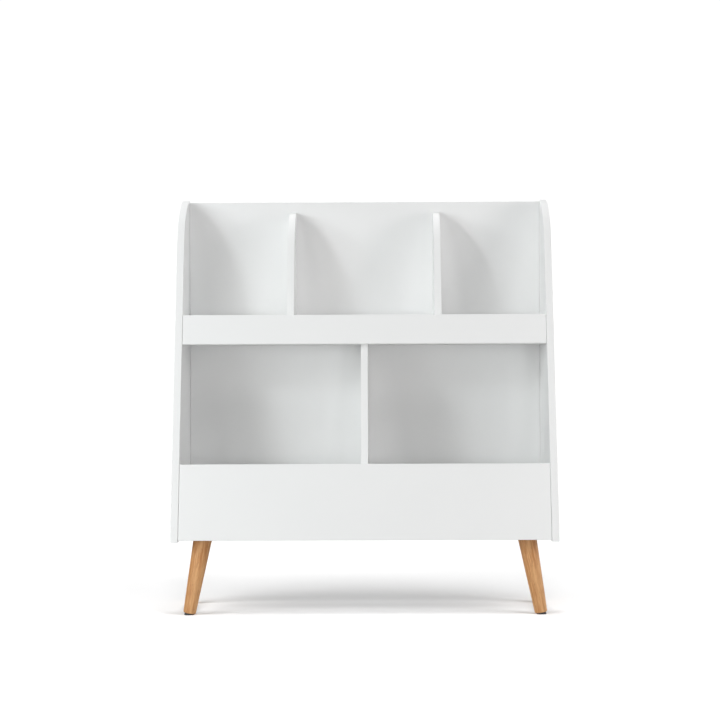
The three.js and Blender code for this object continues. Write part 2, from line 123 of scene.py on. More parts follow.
BOLT_HEAD_PROFILE = [  # radius, and height above the board
    (0.0083, 0),
    (0.0085, 0.0002),
    (0.0085, 0.0008),
    (0.0078, 0.0017),
    (0.0068, 0.00235),
    (0.0058, BOLT_HEAD_HEIGHT),
    (0, BOLT_HEAD_HEIGHT),
]
BOLT_SOCKET_RADIUS = 0.0025
BOLT_SOCKET_DEPTH = 0.0018
INSERT_RADIUS = 0.0062
INSERT_LENGTH = 0.020
INSERT_SPACE = 0.004  # left free below an insert
DOWEL_BESIDE_BOLT = 0.0124
SCREW_RADIUS = 0.002
SCREW_LENGTH = 0.038
SCREW_POINT_LENGTH = 0.006
SCREW_HEAD_RADIUS = 0.004
SCREW_HEAD_DEPTH = 0.0024
SCREW_RIM_DEPTH = 0.0004
SCREW_CROSS_REACH = 0.002
SCREW_CROSS_HALF_WIDTH = 0.0005
SCREW_CROSS_DEPTH = 0.0016
BACK_SCREW_XS = (-0.300, 0.0, 0.300)

SHELVES = {
    "bottom": {
        "underside": BOTTOM_UNDERSIDE,
        "cam_ys": (-0.045, 0.045),
        "screw_z": BOTTOM_UNDERSIDE + 0.007,
    },
    "shelf": {
        "underside": SHELF_UNDERSIDE,
        "cam_ys": (0.008, 0.100),
        "screw_z": SHELF_UNDERSIDE + 0.0085,
    },
}


# ---------- Materials ----------

FIBRE_STRETCH = 0.04  # scale of the noise along the fibres, against 1 across them
GRAIN_SWAY = (0.004, 0.004, 0.0)  # how far the grain wanders from straight
RING_SHARE = 0.45  # of the broad year rings in the grain
STREAK_SHARE = 0.55  # of the fine streaks


class Nodes:
    """A small helper that adds shader nodes and joins them."""

    def __init__(self, name):
        self.material = bpy.data.materials.new(name)
        self.material.use_nodes = True
        self.tree = self.material.node_tree
        self.shader = self.tree.nodes["Principled BSDF"]

    def add(self, kind, inputs=None, **settings):
        node = self.tree.nodes.new(kind)
        for key, value in settings.items():
            setattr(node, key, value)
        for key, value in (inputs or {}).items():
            if isinstance(value, bpy.types.NodeSocket):
                self.tree.links.new(value, node.inputs[key])
            else:
                node.inputs[key].default_value = value
        return node

    def noise(self, vector, scale, detail, **others):
        inputs = {"Vector": vector, "Scale": scale, "Detail": detail, **others}
        return self.add("ShaderNodeTexNoise", inputs).outputs["Fac"]

    def ramp(self, factor, low, high):
        """A colour ramp between two (position, grey or colour) stops."""
        node = self.add("ShaderNodeValToRGB", {"Fac": factor})
        for element, (position, value) in zip(node.color_ramp.elements, (low, high)):
            rgb = value if isinstance(value, tuple) else (value, value, value)
            element.position = position
            element.color = (*rgb, 1)
        return node.outputs["Color"]

    def mix(self, factor, a, b):
        node = self.add("ShaderNodeMix", data_type="RGBA")
        self.tree.links.new(factor, node.inputs[0])
        self.tree.links.new(a, node.inputs[6])
        node.inputs[7].default_value = b
        return node.outputs[2]

    def set(self, name, value):
        """Sets or joins one socket of the shader."""
        if isinstance(value, bpy.types.NodeSocket):
            self.tree.links.new(value, self.shader.inputs[name])
        else:
            self.shader.inputs[name].default_value = value

    def bump(self, height, strength, distance):
        inputs = {"Height": height, "Strength": strength, "Distance": distance}
        self.set("Normal", self.add("ShaderNodeBump", inputs).outputs["Normal"])


def object_place(n):
    return n.add("ShaderNodeTexCoord").outputs["Object"]


def white_paint():
    n = Nodes("white_paint")
    place = object_place(n)
    shade = n.noise(place, 5.0, 3.0)
    n.set("Base Color", n.ramp(shade, (0.3, (0.912, 0.917, 0.916)), (0.7, (0.926, 0.929, 0.927))))
    n.set("Roughness", n.ramp(n.noise(place, 45.0, 4.0), (0.3, 0.52), (0.7, 0.60)))
    n.set("Specular IOR Level", 0.25)
    n.bump(n.noise(place, 420.0, 2.0), 0.25, 0.00012)
    return n.material


def wood(name, light, dark, pore, axis="Z"):
    """Straight-grained wood whose fibres run along one of the object's axes."""
    n = Nodes(name)
    place = object_place(n)
    stretch = {"X": (FIBRE_STRETCH, 1, 1), "Z": (1, 1, FIBRE_STRETCH)}[axis]
    fibres = n.add("ShaderNodeMapping", {"Vector": place, "Scale": stretch}).outputs["Vector"]
    waves = n.add("ShaderNodeTexNoise", {"Vector": place, "Scale": 14.0, "Detail": 2.0})
    waves = waves.outputs["Color"]
    sway = n.add("ShaderNodeVectorMath", {0: waves, 1: GRAIN_SWAY}, operation="MULTIPLY")
    sway = sway.outputs["Vector"]
    bent = n.add("ShaderNodeVectorMath", {0: fibres, 1: sway}, operation="ADD").outputs["Vector"]
    rings = n.noise(bent, 210.0, 2.0)
    streaks = n.noise(bent, 560.0, 4.0)
    ring_part = n.add("ShaderNodeMath", {0: rings, 1: RING_SHARE}, operation="MULTIPLY")
    shares = {0: streaks, 1: STREAK_SHARE, 2: ring_part.outputs["Value"]}
    grain = n.add("ShaderNodeMath", shares, operation="MULTIPLY_ADD").outputs["Value"]
    tone = n.ramp(grain, (0.39, dark), (0.59, light))
    pores = n.ramp(n.noise(fibres, 1300.0, 2.0), (0.30, 0.55), (0.40, 0.0))
    n.set("Base Color", n.mix(pores, tone, (*pore, 1)))
    n.set("Roughness", n.ramp(grain, (0.3, 0.58), (0.7, 0.46)))
    depth = n.add("ShaderNodeMath", {0: grain, 1: pores}, operation="SUBTRACT")
    n.bump(depth.outputs["Value"], 0.3, 0.0002)
    return n.material


def rubber():
    n = Nodes("dark_rubber")
    speckle = n.noise(object_place(n), 900.0, 3.0)
    n.set("Base Color", n.ramp(speckle, (0.3, (0.055, 0.056, 0.06)), (0.7, (0.085, 0.085, 0.088))))
    n.set("Roughness", 0.78)
    n.bump(speckle, 0.4, 0.0002)
    return n.material


def metal(name, dark, light, rough):
    n = Nodes(name)
    cloud = n.noise(object_place(n), 380.0, 5.0, Roughness=0.65)
    n.set("Base Color", n.ramp(cloud, (0.3, dark), (0.7, light)))
    n.set("Roughness", n.ramp(cloud, (0.25, rough + 0.12), (0.75, rough)))
    n.set("Metallic", 1.0)
    n.bump(cloud, 0.2, 0.0001)
    return n.material


PAINT = white_paint()
OAK = wood("oak", (0.80, 0.45, 0.20), (0.57, 0.24, 0.08), (0.36, 0.14, 0.045))
BEECH_X = wood("beech_along_x", (0.70, 0.50, 0.31), (0.60, 0.40, 0.23), (0.42, 0.25, 0.13), axis="X")
BEECH_Z = wood("beech_along_z", (0.70, 0.50, 0.31), (0.60, 0.40, 0.23), (0.42, 0.25, 0.13))
RUBBER = rubber()
STEEL = metal("plated_steel", (0.52, 0.53, 0.55), (0.66, 0.67, 0.69), 0.26)
ZINC = metal("cast_zinc", (0.42, 0.43, 0.44), (0.55, 0.56, 0.57), 0.40)


# ---------- Solids ----------

def rod(radius, axis, start, end, centre, sides=32):
    """A cylinder between two places on an X, Y or Z axis."""
    bm = bmesh.new()
    bmesh.ops.create_cone(
        bm, cap_ends=True, segments=sides, radius1=radius, radius2=radius, depth=abs(end - start)
    )
    middle = (start + end) / 2
    if axis == "x":
        turn, shift = Matrix.Rotation(math.pi / 2, 4, "Y"), (middle, *centre)
    elif axis == "y":
        turn, shift = Matrix.Rotation(math.pi / 2, 4, "X"), (centre[0], middle, centre[1])
    else:
        turn, shift = Matrix.Identity(4), (*centre, middle)
    bm.transform(Matrix.Translation(shift) @ turn)
    return bm


def block(x, y, z):
    bm = bmesh.new()
    bmesh.ops.create_cube(bm, size=1)
    size = Matrix.Diagonal((x[1] - x[0], y[1] - y[0], z[1] - z[0], 1))
    middle = ((x[0] + x[1]) / 2, (y[0] + y[1]) / 2, (z[0] + z[1]) / 2)
    bm.transform(Matrix.Translation(middle) @ size)
    return bm


def prism(outline, x0, x1):
    """A board whose outline is drawn in Y and Z."""
    bm = bmesh.new()
    near = [bm.verts.new((x0, y, z)) for y, z in outline]
    far = [bm.verts.new((x1, y, z)) for y, z in outline]
    bm.faces.new(near)
    bm.faces.new(list(reversed(far)))
    count = len(outline)
    for i in range(count):
        j = (i + 1) % count
        bm.faces.new((near[j], near[i], far[i], far[j]))
    bmesh.ops.recalc_face_normals(bm, faces=bm.faces)
    return bm


def lathe(profile, sides=64):
    """A turned shape around Z from (radius, height) pairs that start and end on the axis."""
    bm = bmesh.new()
    rings = []
    for radius, height in profile:
        if radius < 1e-9:
            rings.append([bm.verts.new((0, 0, height))])
        else:
            ring = []
            for i in range(sides):
                angle = 2 * math.pi * i / sides
                ring.append(bm.verts.new((radius * math.cos(angle), radius * math.sin(angle), height)))
            rings.append(ring)
    for low, high in zip(rings, rings[1:]):
        for i in range(sides):
            j = (i + 1) % sides
            if len(low) == 1:
                bm.faces.new((low[0], high[j], high[i]))
            elif len(high) == 1:
                bm.faces.new((low[i], low[j], high[0]))
            else:
                bm.faces.new((low[i], low[j], high[j], high[i]))
    bmesh.ops.recalc_face_normals(bm, faces=bm.faces)
    return bm


def arc(centre, radius, start, end, steps):
    """Points (radius, height) on an arc, for a lathe profile or an outline."""
    angles = (start + (end - start) * i / steps for i in range(steps + 1))
    return [(centre[0] + radius * math.cos(a), centre[1] + radius * math.sin(a)) for a in angles]


def soften(bm, size=EDGE):
    """Rounds the sharp edges of a board."""
    sharp = [e for e in bm.edges if e.is_manifold and e.calc_face_angle() > CORNER_ANGLE]
    bmesh.ops.bevel(bm, geom=sharp, offset=size, segments=3, profile=0.5, affect="EDGES")
    return bm


def join(meshes):
    joined = bmesh.new()
    for bm in meshes:
        mesh = bpy.data.meshes.new("part")
        bm.to_mesh(mesh)
        bm.free()
        joined.from_mesh(mesh)
        bpy.data.meshes.remove(mesh)
    return joined


def as_object(bm, name):
    mesh = bpy.data.meshes.new(name)
    bm.to_mesh(mesh)
    bm.free()
    piece = bpy.data.objects.new(name, mesh)
    bpy.context.scene.collection.objects.link(piece)
    return piece


def cut(piece, cutters):
    """Takes the cutters out of a piece, one after another."""
    tool = as_object(join(cutters), "cutter")
    tool.matrix_world = piece.matrix_world
    modifier = piece.modifiers.new("cut", "BOOLEAN")
    modifier.operation = "DIFFERENCE"
    modifier.solver = "EXACT"
    modifier.use_self = True
    modifier.object = tool
    bpy.context.view_layer.update()
    evaluated = piece.evaluated_get(bpy.context.evaluated_depsgraph_get())
    mesh = bpy.data.meshes.new_from_object(evaluated)
    piece.modifiers.clear()
    old = piece.data
    piece.data = mesh
    mesh.name = piece.name
    bpy.data.meshes.remove(old)
    bpy.data.objects.remove(tool)


def finish_piece(piece, node, material):
    """Gives a piece its shading, its material and its place in the frame."""
    mesh = piece.data
    mesh.materials.clear()
    mesh.materials.append(material)
    mesh.polygons.foreach_set("use_smooth", [True] * len(mesh.polygons))
    mesh.set_sharp_from_angle(angle=SHARP_ANGLE)
    normals = piece.modifiers.new("flat_faces", "WEIGHTED_NORMAL")
    normals.keep_sharp = True
    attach(piece, "root")
    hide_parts(node)


# ---------- The leaning front ----------

def front_at(height, setback=0.0):
    """Y of the leaning front at a height, moved inwards by a setback."""
    return FRONT + (height - UNDERSIDE) * math.tan(LEAN) + setback / math.cos(LEAN)


def leaning_point(inwards, along):
    """Y and Z of a place given inwards from the leaning plane and upwards along it."""
    y = FRONT + along * math.sin(LEAN) + inwards * math.cos(LEAN)
    z = UNDERSIDE + along * math.cos(LEAN) - inwards * math.sin(LEAN)
    return y, z


def board_start(underside):
    """Distance along the lean at which a front board's face starts."""
    height = underside + FRONT_STEP - UNDERSIDE
    return (height + FRONT_RECESS * math.sin(LEAN)) / math.cos(LEAN)


def upright_outline(setback, bottom, top, rear, radius):
    """Level bottom, leaning front edge, and one arc up to the rear top corner."""
    width = (rear - front_at(top, setback)) * math.cos(LEAN)
    beyond = radius - width
    below = math.sqrt(radius**2 - beyond**2)
    centre = (
        rear + beyond * math.cos(LEAN) - below * math.sin(LEAN),
        top - beyond * math.sin(LEAN) - below * math.cos(LEAN),
    )
    end = math.atan2(top - centre[1], rear - centre[0])
    curve = arc(centre, radius, math.pi - LEAN, end, 56)
    return [(rear, bottom), (front_at(bottom, setback), bottom), *curve]


FRONT_BOARDS = {
    "lower": {
        "start": board_start(BOTTOM_UNDERSIDE),
        "height": LOWER_FRONT_HEIGHT,
        "dowel_inset": 0.035,
    },
    "upper": {
        "start": board_start(SHELF_UNDERSIDE),
        "height": UPPER_RAIL_HEIGHT,
        "dowel_inset": 0.016,
    },
}


def dowel_places(board):
    inwards = FRONT_RECESS + BOARD / 2
    insets = (board["dowel_inset"], board["height"] - board["dowel_inset"])
    return [leaning_point(inwards, board["start"] + inset) for inset in insets]


def cam_places(shelf):
    return [(y, shelf["underside"] + CAM_HEIGHT / 2 + GAP) for y in shelf["cam_ys"]]


def leg_x(foot_x, height):
    """X of a leg's axis at a height."""
    return foot_x - math.copysign(height * math.tan(SPLAY), foot_x)


# ---------- Boards ----------

def make_side_panel(name, side):
    inner, outer = side * INNER_HALF, side * HALF_WIDTH
    outline = upright_outline(0.0, UNDERSIDE, TOP, REAR, SIDE_CORNER_RADIUS)
    panel = prism(outline, min(inner, outer), max(inner, outer))
    piece = as_object(soften(panel), f"painted_{name}")
    start, end = inner - side * BEYOND, inner + side * BORE_DEPTH
    bores = []
    for board in FRONT_BOARDS.values():
        for at in dowel_places(board):
            bores.append(rod(DOWEL_RADIUS + GAP, "x", start, end, at))
    for shelf in SHELVES.values():
        for at in cam_places(shelf):
            bores.append(rod(CAM_BOLT_THREAD_RADIUS + GAP, "x", start, end, at))
    cut(piece, bores)
    finish_piece(piece, name, PAINT)


def make_back_panel():
    lo, hi = BACK
    bm = block((lo.x, hi.x), (lo.y, hi.y), (lo.z, hi.z))
    piece = as_object(soften(bm, size=SQUARE_EDGE), "painted_back_panel")
    countersink = [
        (0, -BEYOND),
        (SCREW_HEAD_RADIUS + GAP, -BEYOND),
        (SCREW_HEAD_RADIUS + GAP, SCREW_RIM_DEPTH),
        (SCREW_RADIUS + GAP, SCREW_HEAD_DEPTH + 2 * GAP),
        (0, SCREW_HEAD_DEPTH + 2 * GAP),
    ]
    bores = []
    for shelf in SHELVES.values():
        z = shelf["screw_z"]
        for x in BACK_SCREW_XS:
            bores.append(rod(SCREW_RADIUS + GAP, "y", BACK_FACE - BEYOND, REAR + BEYOND, (x, z)))
            sink = lathe(countersink, sides=32)
            sink.transform(Matrix.Translation((x, REAR, z)) @ Matrix.Rotation(math.pi / 2, 4, "X"))
            bores.append(sink)
    cut(piece, bores)
    finish_piece(piece, "back_panel", PAINT)


def housing(x, low, high):
    half = BOARD / 2 + GAP
    return block((x - half, x + half), (2 * FRONT, 2 * REAR), (low, high))


def make_level_board(name, key, extra):
    shelf = SHELVES[key]
    underside = shelf["underside"]
    top = underside + BOARD
    outline = [
        (BACK_FACE - GAP, underside),
        (front_at(underside, FRONT_BOARD_REAR) + GAP, underside),
        (front_at(top, FRONT_BOARD_REAR) + GAP, top),
        (BACK_FACE - GAP, top),
    ]
    bm = soften(prism(outline, -INNER_HALF + GAP, INNER_HALF - GAP), size=SQUARE_EDGE)
    piece = as_object(bm, f"painted_{name}")
    bores = list(extra)
    for side in (-1, 1):
        end = side * INNER_HALF
        cam_x = side * (INNER_HALF - CAM_INSET)
        for y, z in cam_places(shelf):
            cam_top = underside + CAM_HEIGHT + 2 * GAP
            low = underside - BEYOND
            bores.append(rod(CAM_RADIUS + GAP, "z", low, cam_top, (cam_x, y), sides=48))
            bores.append(rod(CAM_BOLT_BORE_RADIUS, "x", cam_x, end + side * BEYOND, (y, z)))
    tip = REAR - SCREW_LENGTH - 2 * BORE_END_SPACE
    for x in BACK_SCREW_XS:
        at = (x, shelf["screw_z"])
        bores.append(rod(SCREW_RADIUS + GAP, "y", tip, BACK_FACE + BEYOND, at))
    cut(piece, bores)
    finish_piece(piece, name, PAINT)


def leg_bores_in_bottom():
    bores = []
    for foot_x, foot_y in FEET.values():
        x = leg_x(foot_x, BOTTOM_UNDERSIDE)
        low = BOTTOM_UNDERSIDE - BEYOND
        bores.append(rod(BOLT_RADIUS + GAP, "z", low, BOTTOM_TOP + BEYOND, (x, foot_y)))
        dowel_end = BOTTOM_UNDERSIDE + BORE_DEPTH
        bores.append(rod(DOWEL_RADIUS + GAP, "z", low, dowel_end, (x, foot_y + DOWEL_BESIDE_BOLT)))
    return bores


def make_front_board(name, board):
    """A board whose upper edge is square to its face and whose lower edge is cut level."""
    end = board["start"] + board["height"]
    outline = [
        (FRONT_RECESS, board["start"]),
        (FRONT_BOARD_REAR, board["start"] + BOARD * math.tan(LEAN)),
        (FRONT_BOARD_REAR, end),
        (FRONT_RECESS, end),
    ]
    bm = prism(outline, -INNER_HALF + GAP, INNER_HALF - GAP)
    piece = as_object(soften(bm), f"painted_{name}")
    piece.matrix_world = Matrix.Translation((0, FRONT, UNDERSIDE)) @ Matrix.Rotation(-LEAN, 4, "X")
    middle = FRONT_RECESS + BOARD / 2
    bores = []
    for side in (-1, 1):
        start = side * (INNER_HALF - DOWEL_IN_END - BORE_END_SPACE)
        for inset in (board["dowel_inset"], board["height"] - board["dowel_inset"]):
            at = (middle, board["start"] + inset)
            bores.append(rod(DOWEL_RADIUS + GAP, "x", start, side * (INNER_HALF + BEYOND), at))
    cut(piece, bores)
    finish_piece(piece, name, PAINT)


def make_dividers():
    for name, x in (("upper_divider_left", -DIVIDER_OFFSET), ("upper_divider_right", DIVIDER_OFFSET)):
        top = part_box(name)[1].z
        foot = SHELF_TOP - HOUSING_DEPTH + GAP
        outline = upright_outline(DIVIDER_SETBACK, foot, top, BACK_FACE - GAP, DIVIDER_CORNER_RADIUS)
        piece = as_object(soften(prism(outline, x - BOARD / 2, x + BOARD / 2)), f"painted_{name}")
        finish_piece(piece, name, PAINT)
    low = BOTTOM_TOP - HOUSING_DEPTH + GAP
    high = SHELF_UNDERSIDE + HOUSING_DEPTH - GAP
    outline = [
        (BACK_FACE - GAP, low),
        (front_at(low, DIVIDER_SETBACK), low),
        (front_at(high, DIVIDER_SETBACK), high),
        (BACK_FACE - GAP, high),
    ]
    piece = as_object(soften(prism(outline, -BOARD / 2, BOARD / 2)), "painted_lower_divider")
    finish_piece(piece, "lower_divider", PAINT)


make_side_panel("left_side_panel", -1)
make_side_panel("right_side_panel", 1)
make_back_panel()
make_level_board(
    "upper_shelf",
    "shelf",
    [
        housing(-DIVIDER_OFFSET, SHELF_TOP - HOUSING_DEPTH, SHELF_TOP + BEYOND),
        housing(DIVIDER_OFFSET, SHELF_TOP - HOUSING_DEPTH, SHELF_TOP + BEYOND),
        housing(0.0, SHELF_UNDERSIDE - BEYOND, SHELF_UNDERSIDE + HOUSING_DEPTH),
    ],
)
make_level_board(
    "bottom_panel",
    "bottom",
    [housing(0.0, BOTTOM_TOP - HOUSING_DEPTH, BOTTOM_TOP + BEYOND), *leg_bores_in_bottom()],
)
make_front_board("lower_front_panel", FRONT_BOARDS["lower"])
make_front_board("upper_front_rail", FRONT_BOARDS["upper"])
make_dividers()


# ---------- Legs and pads ----------

def splayed_frame(foot):
    """The leg's own frame: its origin on the floor and Z along its axis."""
    side = math.copysign(1, foot[0])
    return Matrix.Translation((*foot, 0)) @ Matrix.Rotation(-side * SPLAY, 4, "Y")


def trim(bm, world, height, keep_below):
    """Cuts a shape level at a height of the row frame and closes it."""
    inverse = world.inverted()
    normal = (inverse.to_3x3() @ Vector((0, 0, 1 if keep_below else -1))).normalized()
    point = inverse @ Vector((world.translation.x, world.translation.y, height))
    geometry = bm.verts[:] + bm.edges[:] + bm.faces[:]
    bmesh.ops.bisect_plane(bm, geom=geometry, plane_co=point, plane_no=normal, clear_outer=True)
    rim = [e for e in bm.edges if e.is_boundary]
    bmesh.ops.edgeloop_fill(bm, edges=rim)
    bmesh.ops.recalc_face_normals(bm, faces=bm.faces)
    return bm


def make_leg(name, foot):
    world = splayed_frame(foot)
    start = PAD_HEIGHT / math.cos(SPLAY)
    end = BOTTOM_UNDERSIDE / math.cos(SPLAY)
    low = start + LEG_FOOT_ROUND
    taper = (LEG_TOP_RADIUS - LEG_FOOT_RADIUS) / (end - low)
    inner = LEG_FOOT_RADIUS - LEG_FOOT_ROUND
    edge = arc((inner, low), LEG_FOOT_ROUND, -math.pi / 2, 0, 8)
    profile = [(0, start), *edge]
    reach = end + LEG_TOP_RADIUS * math.tan(SPLAY) + BEYOND
    rings = 12
    for i in range(1, rings + 1):
        rise = (reach - low) * i / rings
        profile.append((LEG_FOOT_RADIUS + taper * rise, low + rise))
    profile.append((0, reach))
    bm = trim(lathe(profile, sides=96), world, BOTTOM_UNDERSIDE - GAP, keep_below=True)
    piece = as_object(bm, f"oak_{name}")
    piece.matrix_world = world
    bolt_x = leg_x(foot[0], BOTTOM_UNDERSIDE)
    insert_low = BOTTOM_UNDERSIDE - 2 * GAP - INSERT_LENGTH - INSERT_SPACE
    dowel_low = BOTTOM_UNDERSIDE - BORE_DEPTH
    above = BOTTOM_UNDERSIDE + BEYOND
    beside = (bolt_x, foot[1] + DOWEL_BESIDE_BOLT)
    bores = [
        rod(INSERT_RADIUS + GAP, "z", insert_low, above, (bolt_x, foot[1])),
        rod(DOWEL_RADIUS + GAP, "z", dowel_low, above, beside),
    ]
    for bore in bores:
        bore.transform(world.inverted())
    cut(piece, bores)
    finish_piece(piece, name, OAK)


def make_pad(name, foot):
    world = splayed_frame(foot)
    top = PAD_HEIGHT / math.cos(SPLAY) - GAP
    edge = arc((PAD_RADIUS - PAD_ROUND, top - PAD_ROUND), PAD_ROUND, 0, math.pi / 2, 4)
    below_floor = -2 * PAD_RADIUS
    bm = lathe([(0, below_floor), (PAD_RADIUS, below_floor), *edge, (0, top)], sides=64)
    trim(bm, world, 0.0, keep_below=False)
    bm.transform(world)
    piece = as_object(bm, f"rubber_{name}")
    finish_piece(piece, name, RUBBER)


for place, foot in FEET.items():
    make_leg(f"leg_{place}", foot)
    make_pad(f"foot_pad_{place}", foot)


# ---------- Fittings ----------

def cam_pointer(side):
    """A small triangle in a cam's underside that points at its bolt."""
    outline = [(-0.0011, -0.001), (0.0011, -0.001), (0.0, 0.0009)]
    triangle = prism(outline, -CAM_POINTER_DEPTH, BEYOND)
    lie_flat = Matrix.Rotation(math.pi / 2, 4, "Y")
    turn = Matrix.Rotation(-side * math.pi / 2, 4, "Z")
    place = Matrix.Translation((side * CAM_POINTER_RADIUS, 0, 0))
    triangle.transform(place @ turn @ lie_flat)
    return triangle


def make_cam(name, side):
    """The eccentric of a cam lock: a cross recess below, a pocket and a neck for the bolt above."""
    lo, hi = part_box(name)
    profile = [
        (0, 0),
        (CAM_RADIUS - CAM_CHAMFER, 0),
        (CAM_RADIUS, CAM_CHAMFER),
        (CAM_RADIUS, CAM_HEIGHT - CAM_CHAMFER),
        (CAM_RADIUS - CAM_CHAMFER, CAM_HEIGHT),
        (0, CAM_HEIGHT),
    ]
    piece = as_object(lathe(profile, sides=48), f"zinc_{name}")
    piece.matrix_world = Matrix.Translation(((lo.x + hi.x) / 2, (lo.y + hi.y) / 2, lo.z))
    top = CAM_HEIGHT + BEYOND
    outwards = sorted((0.0, side * (CAM_RADIUS + BEYOND)))
    neck = (-CAM_NECK_HALF_WIDTH, CAM_NECK_HALF_WIDTH)
    long = (-CAM_CROSS_HALF_LENGTH, CAM_CROSS_HALF_LENGTH)
    narrow = (-CAM_CROSS_HALF_WIDTH, CAM_CROSS_HALF_WIDTH)
    deep = (-BEYOND, CAM_CROSS_DEPTH)
    cut(
        piece,
        [
            block(outwards, neck, (CAM_HEIGHT - CAM_NECK_DEPTH, top)),
            rod(CAM_POCKET_RADIUS, "z", CAM_HEIGHT - CAM_POCKET_DEPTH, top, (0, 0)),
            block(long, narrow, deep),
            block(narrow, long, deep),
            cam_pointer(side),
        ],
    )
    finish_piece(piece, name, ZINC)


def make_leg_bolt(name):
    """A bolt with a wide, low, rounded head and a hexagon socket."""
    lo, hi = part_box(name)
    head = BOTTOM_TOP + GAP
    top = head + BOLT_HEAD_HEIGHT
    profile = [
        (0, lo.z),
        (BOLT_RADIUS - BOLT_TIP_CHAMFER, lo.z),
        (BOLT_RADIUS, lo.z + BOLT_TIP_CHAMFER),
        (BOLT_RADIUS, head),
        *((radius, head + height) for radius, height in BOLT_HEAD_PROFILE),
    ]
    piece = as_object(lathe(profile, sides=64), f"steel_{name}")
    piece.matrix_world = Matrix.Translation(((lo.x + hi.x) / 2, (lo.y + hi.y) / 2, 0))
    socket_floor = top - BOLT_SOCKET_DEPTH
    cut(piece, [rod(BOLT_SOCKET_RADIUS, "z", socket_floor, top + BEYOND, (0, 0), sides=6)])
    finish_piece(piece, name, STEEL)


def make_back_screw(name):
    """A sunk screw with a cross recess, its axis along Y."""
    lo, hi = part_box(name)
    profile = [
        (0, 0),
        (SCREW_HEAD_RADIUS - SCREW_RIM_DEPTH / 2, 0),
        (SCREW_HEAD_RADIUS, SCREW_RIM_DEPTH / 2),
        (SCREW_HEAD_RADIUS, SCREW_RIM_DEPTH),
        (SCREW_RADIUS, SCREW_HEAD_DEPTH),
        (SCREW_RADIUS, SCREW_LENGTH - SCREW_POINT_LENGTH),
        (0, SCREW_LENGTH),
    ]
    bm = lathe(profile, sides=48)
    bm.transform(Matrix.Rotation(math.pi / 2, 4, "X"))
    piece = as_object(bm, f"steel_{name}")
    piece.matrix_world = Matrix.Translation(((lo.x + hi.x) / 2, REAR, (lo.z + hi.z) / 2))
    long = (-SCREW_CROSS_REACH, SCREW_CROSS_REACH)
    narrow = (-SCREW_CROSS_HALF_WIDTH, SCREW_CROSS_HALF_WIDTH)
    deep = (-SCREW_CROSS_DEPTH, BEYOND)
    cut(piece, [block(long, deep, narrow), block(narrow, deep, long)])
    finish_piece(piece, name, STEEL)


for key in SHELVES:
    for side, label in ((-1, "left"), (1, "right")):
        for index in (1, 2):
            make_cam(f"cam_{key}_{label}_{index}", side)
    for index in (1, 2, 3):
        make_back_screw(f"back_screw_{key}_{index}")
for place in FEET:
    make_leg_bolt(f"leg_bolt_{place}")

# The fittings inside the boards keep their CAD shapes.
for name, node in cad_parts.items():
    if node.hide_render:
        continue
    if name.startswith("leg_dowel"):
        finish = BEECH_Z
    elif "dowel" in name:
        finish = BEECH_X
    elif name.startswith("leg_insert"):
        finish = ZINC
    else:
        finish = STEEL
    for slot in node.material_slots:
        slot.material = finish


# ---------- Floor, light and camera ----------

FLOOR_RADIUS = 2.0


def make_floor():
    bm = bmesh.new()
    bmesh.ops.create_circle(bm, cap_ends=True, segments=96, radius=FLOOR_RADIUS)
    floor = as_object(bm, "studio_floor")
    n = Nodes("studio_floor")
    n.set("Base Color", n.ramp(n.noise(object_place(n), 2.0, 2.0), (0.3, 0.86), (0.7, 0.88)))
    n.set("Roughness", 0.9)
    n.set("Specular IOR Level", 0.1)
    floor.data.materials.append(n.material)
    # The light from the floor onto the object comes from floor_bounce, so that it can be set apart
    # from how white the floor looks.
    floor.visible_diffuse = False
    floor.visible_glossy = False
    return floor


LOOK_AT = Vector((0, 0, 0.5))
